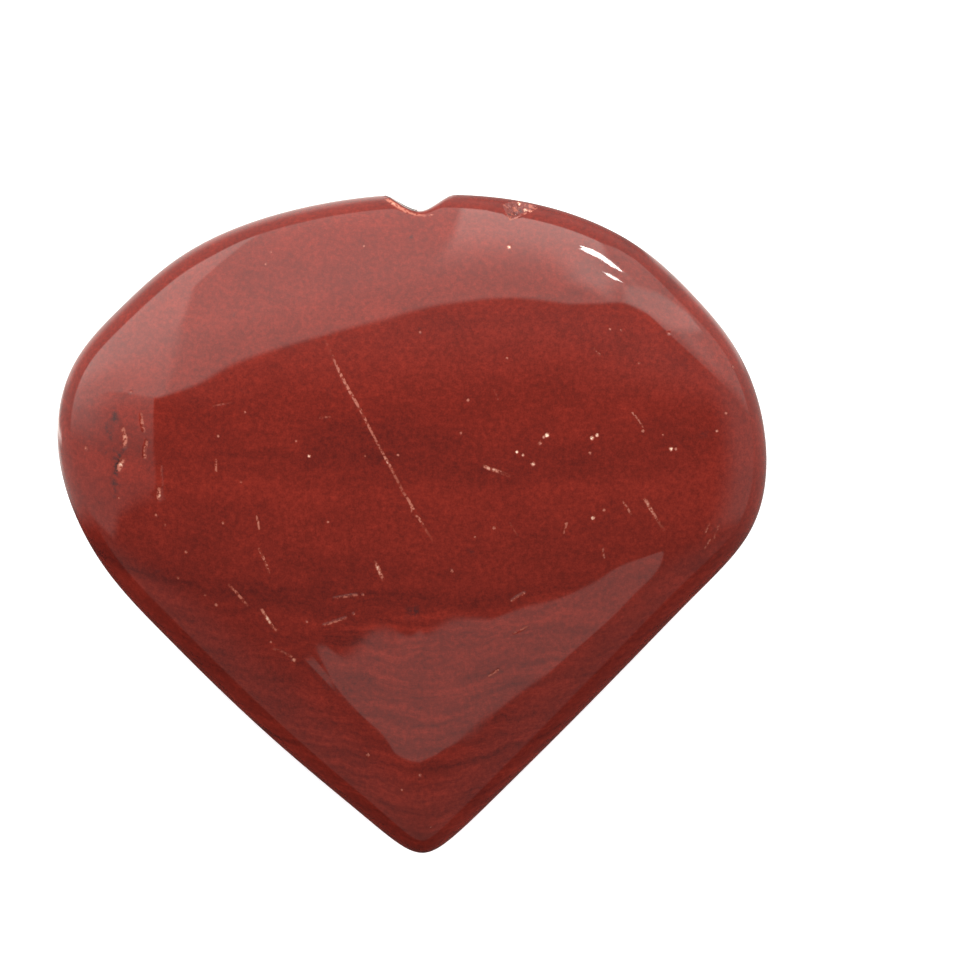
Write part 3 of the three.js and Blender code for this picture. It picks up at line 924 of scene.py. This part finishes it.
# The light of the floor: in shade, at the right by the compass direction's y, and in stretches
# with a middle, a half width, a softness and a light. Straight under the notch it is sunny.
SHADE_LIGHT = 0.05
RIGHT_GROUND = (-10, 60, 20)
RIGHT_GROUND_LIGHT = (-0.75, 0.35, 0.08, 0.72)
GROUND_STRETCHES = [(101, 80, 14, 0.75), (191, 14, 10, 0.68)]
NEARLY_DOWN = (168, 171, 0.0, 1.0)
UNDER_NOTCH = (0.02, 0.05, 0.0, 1.0)
UNDER_NOTCH_LIGHT = 1.8


def room_light(tree, x, y, spot):
    """The light of the room: overhead, at its sides, and of the pale card."""
    light = ramp(tree, y, *OVERHEAD_LIGHT)
    light = blend(tree, inside(tree, spot, RIGHT_SIDE, softness=24), light, RIGHT_SIDE_LIGHT)
    light = blend(tree, inside(tree, spot, TIP_SIDE, softness=18), light, TIP_SIDE_LIGHT)
    side = between(tree, x, y, SIDE_LOWER, SIDE_UPPER, softness=5)
    side_light = calc(tree, "MULTIPLY", ramp(tree, x, *SIDE_BRIGHT_END), ramp(tree, y, *SIDE_BRIGHT_FROM))
    side_light = calc(tree, "ADD", side_light, ramp(tree, y, *SIDE_BRIGHT_TOP))
    side_light = calc(tree, "ADD", side_light, ramp(tree, x, *SIDE_LIGHT))
    light = blend(tree, side, light, side_light)
    light = blend(tree, between(tree, x, y, CARD_LOWER, CARD_UPPER, softness=0.5), light, CARD_LIGHT)
    return blend(tree, inside(tree, spot, CARD_SLIVER, softness=0.5), light, CARD_SLIVER_LIGHT)


def window_light(tree, x, y, spot, room):
    """The light of the window's panes and of its lamp, with the room's light round them."""
    into_window = calc(tree, "SUBTRACT", y, curve(tree, x, WINDOW_LOWER))
    right_pane = ramp(tree, into_window, *RIGHT_PANE)
    right_pane = blend(tree, inside(tree, spot, LAMP_GLOW, softness=9), right_pane, LAMP_GLOW_LIGHT)
    past_middle = calc(tree, "SUBTRACT", x, curve(tree, y, WINDOW_MIDDLE_SEAM))
    middle_pane = ramp(tree, into_window, *MIDDLE_PANE)
    panes = blend(tree, soft_step(tree, past_middle, softness=1.5), middle_pane, right_pane)
    past_left = calc(tree, "SUBTRACT", curve(tree, y, WINDOW_LEFT_SEAM), x)
    left_pane = ramp(tree, into_window, *LEFT_PANE)
    panes = blend(tree, soft_step(tree, past_left, softness=2.5), panes, left_pane)
    past_right = calc(tree, "SUBTRACT", x, curve(tree, y, WINDOW_RIGHT_SEAM))
    far_pane = calc(tree, "MULTIPLY", ramp(tree, x, *FAR_PANE), ramp(tree, into_window, *FAR_PANE_EDGE))
    panes = blend(tree, soft_step(tree, past_right, softness=4), panes, far_pane)
    panes = blend(tree, inside(tree, spot, FAR_GLOW, softness=3.5), panes, FAR_GLOW_LIGHT)
    light = blend(tree, soft_step(tree, into_window, softness=1.4), room, panes)
    light = blend(tree, inside(tree, spot, LAMP, softness=0.6, ragged=1.6), light, LAMP_LIGHT)
    return blend(tree, inside(tree, spot, LAMP_EDGE, softness=0.5, ragged=0.6), light, LAMP_LIGHT)


def ground_light(tree, axes, bearing, zenith):
    """The light of the floor: sunny beyond the notch, in shade elsewhere."""
    bearing_y = node(tree, "ShaderNodeSeparateXYZ", {0: bearing}).outputs[1]
    right_ground = ramp(tree, bearing_y, *RIGHT_GROUND_LIGHT, smooth=False)
    ground = blend(tree, sector(tree, bearing, *RIGHT_GROUND), SHADE_LIGHT, right_ground)
    for middle, half, softness, radiance in GROUND_STRETCHES:
        ground = blend(tree, sector(tree, bearing, middle, half, softness), ground, radiance)
    for middle, half, start, end, radiance in GROUND_GLINTS:
        along = ramp(tree, zenith, start, end, 0.0, 1.0)
        glint = calc(tree, "MULTIPLY", along, sector(tree, bearing, middle, half, softness=6))
        ground = blend(tree, glint, ground, radiance)
    under_notch = calc(tree, "MULTIPLY", ramp(tree, axes[0], *UNDER_NOTCH), ramp(tree, zenith, *NEARLY_DOWN))
    return blend(tree, under_notch, ground, UNDER_NOTCH_LIGHT)


def seen_in_gloss(tree, unit):
    """The brightness of the studio as the gloss mirrors it, by direction. Below the horizon the
    gloss sees the floor."""
    axes = node(tree, "ShaderNodeSeparateXYZ", {0: unit}).outputs
    level = node(tree, "ShaderNodeCombineXYZ", {0: axes[0], 1: axes[1]}).outputs[0]
    bearing = node(tree, "ShaderNodeVectorMath", {0: level}, operation="NORMALIZE").outputs[0]
    zenith = calc(tree, "DEGREES", calc(tree, "ARCCOSINE", axes[2]))
    flat = node(tree, "ShaderNodeVectorMath", {0: bearing, 3: zenith}, operation="SCALE").outputs[0]
    x, y, _ = node(tree, "ShaderNodeSeparateXYZ", {0: flat}).outputs
    spot = node(tree, "ShaderNodeCombineXYZ", {0: x, 1: y, 2: 1.0}).outputs[0]
    light = window_light(tree, x, y, spot, room_light(tree, x, y, spot))
    ground = ground_light(tree, axes, bearing, zenith)
    horizon = blend(tree, ramp(tree, y, *HORIZON_PASSAGE), NEAR_HORIZON, curve(tree, x, HORIZON))
    below = soft_step(tree, calc(tree, "SUBTRACT", zenith, horizon), softness=3.5)
    return blend(tree, below, light, ground)


# The light on the matt colour comes from all round, and most of it from two broad lobes of light:
# the compass direction of each, its height over the horizon, its narrowness and its strength.
SOFT_COLOUR = (1.0, 1.0, 1.0)
STUDIO_COLOUR = (1.0, 0.985, 0.925)
SOFT_LEVEL = 0.16
SOFT_LOBES = [(130, 10, 4, 4.8), (60, 30, 2, 2.55)]


def soft_light(tree, unit):
    """The brightness of the soft light round the stone, by direction."""
    light = SOFT_LEVEL
    for bearing, height, narrowness, strength in SOFT_LOBES:
        towards = Vector((math.cos(math.radians(height)), 0, math.sin(math.radians(height))))
        towards.rotate(Matrix.Rotation(math.radians(bearing), 3, "Z"))
        dot = node(tree, "ShaderNodeVectorMath", {0: unit, 1: towards}, operation="DOT_PRODUCT").outputs[1]
        lobe = calc(tree, "POWER", calc(tree, "MAXIMUM", dot, 0.0), narrowness)
        light = calc(tree, "MULTIPLY_ADD", lobe, strength, light)
    return light


def light_studio():
    """The world: soft light for the matt colour, white for the camera, the painted studio for
    the gloss."""
    world = bpy.data.worlds.new("studio")
    bpy.context.scene.world = world
    world.use_nodes = True
    tree = world.node_tree
    tree.nodes.clear()
    direction = node(tree, "ShaderNodeTexCoord").outputs["Generated"]
    unit = node(tree, "ShaderNodeVectorMath", {0: direction}, operation="NORMALIZE").outputs[0]
    ray = node(tree, "ShaderNodeLightPath").outputs
    soft = blend(tree, ray["Is Camera Ray"], soft_light(tree, unit), 1.0)
    matt, gloss = [
        node(tree, "ShaderNodeBackground", {"Color": (*colour, 1), "Strength": strength}).outputs[0]
        for colour, strength in ((SOFT_COLOUR, soft), (STUDIO_COLOUR, seen_in_gloss(tree, unit)))
    ]
    both = node(tree, "ShaderNodeMixShader", {0: ray["Is Glossy Ray"], 1: matt, 2: gloss}).outputs[0]
    node(tree, "ShaderNodeOutputWorld", {"Surface": both}).is_active_output = True


# The floor: its radius in metres, how many corners it has, its two greys, the specks in which
# they change (waves to a metre and detail), its roughness, and a glow that keeps it near white.
FLOOR_RADIUS = 1.2
FLOOR_CORNERS = 64
FLOOR_GREYS = [(0.9, 0.9, 0.9, 1), (0.92, 0.92, 0.92, 1)]
FLOOR_SPECKS = (400.0, 2.0)
FLOOR_ROUGHNESS = 0.9
FLOOR_GLOW = 0.6


def make_floor():
    """A wide pale floor. The stone's gloss doesn't see it: the painted ground stands in its place."""
    mesh = bpy.data.meshes.new("floor")
    bearings = np.linspace(0, 2 * math.pi, FLOOR_CORNERS, endpoint=False)
    rim = [(FLOOR_RADIUS * math.cos(bearing), FLOOR_RADIUS * math.sin(bearing), 0) for bearing in bearings]
    mesh.from_pydata(rim, [], [list(range(FLOOR_CORNERS))])
    material = bpy.data.materials.new("pale_floor")
    material.use_nodes = True
    tree = material.node_tree
    shader = tree.nodes["Principled BSDF"]
    metres = node(tree, "ShaderNodeTexCoord").outputs["Object"]
    speck = scaled_noise(tree, metres, *FLOOR_SPECKS)
    tree.links.new(mixed(tree, speck, *FLOOR_GREYS), shader.inputs["Base Color"])
    shader.inputs["Roughness"].default_value = FLOOR_ROUGHNESS
    shader.inputs["Specular IOR Level"].default_value = 0.0
    shader.inputs["Emission Color"].default_value = (1, 1, 1, 1)
    shader.inputs["Emission Strength"].default_value = FLOOR_GLOW
    mesh.materials.append(material)
    floor = bpy.data.objects.new("floor", mesh)
    bpy.context.scene.collection.objects.link(floor)
    floor.visible_glossy = False


make_camera()
heart = make_heart()
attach(heart, "root")
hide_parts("heart")
light_studio()
make_floor()
bpy.context.scene.view_settings.view_transform = "Standard"
